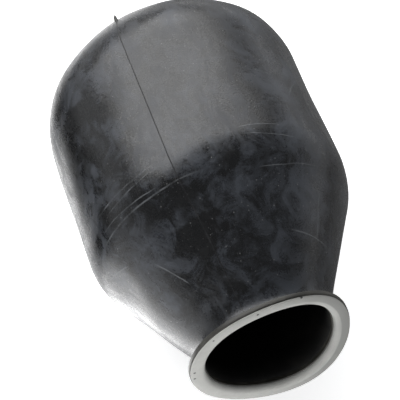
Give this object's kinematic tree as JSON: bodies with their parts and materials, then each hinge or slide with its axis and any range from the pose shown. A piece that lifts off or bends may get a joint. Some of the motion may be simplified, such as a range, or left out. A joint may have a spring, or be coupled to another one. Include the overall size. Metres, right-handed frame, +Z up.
{
  "type": "flanged rubber bulb",
  "caption": "Flanged rubber bulb: a thin moulded bag with a round closed end, a sloping shoulder and a wide open flanged mouth, whose sides squeeze in and spring back.",
  "frame": {"origin": "on the table, under the middle of the bulb's bounding box", "axes": "+Z up as it lies on its side; the bulb's own axis is along Y, mouth towards -Y; +X to the right seen from the mouth end"},
  "size_m": [0.1624, 0.229, 0.1612],
  "materials": {
    "bulb_rubber": "semi-matte black with a bluish bloom and light rub marks",
    "flange_rubber": "matte black edge",
    "sealing_skin": "matte light grey, dusted",
    "flash_rubber": "thin moulding flash"
  },
  "bodies": {
    "bulb": {"end_corner": "bulb_rubber", "end_face": "bulb_rubber", "wall_top": "bulb_rubber", "wall_bottom": "bulb_rubber", "shoulder": "bulb_rubber", "neck": "bulb_rubber", "flange": "flange_rubber", "sealing_face": "sealing_skin", "parting_ridge_top": "flash_rubber", "parting_ridge_bottom": "flash_rubber", "vent_nib": "flash_rubber"},
    "left_side": {"side_wall_left": "bulb_rubber"},
    "right_side": {"side_wall_right": "bulb_rubber"}
  },
  "joints": [
    {"name": "squeeze_left", "type": "slide", "parent": "bulb", "child": "left_side", "axis": [0.9239, 0, 0.3827], "range_m": [0, 0.025], "stiffness_N_per_m": 1000},
    {"name": "squeeze_right", "type": "slide", "parent": "bulb", "child": "right_side", "axis": [-0.9239, 0, -0.3827], "range_m": [0, 0.025], "stiffness_N_per_m": 1000}
  ],
  "couplings": [
    {"joint": "squeeze_right", "follows": "squeeze_left", "ratio": 1}
  ]
}
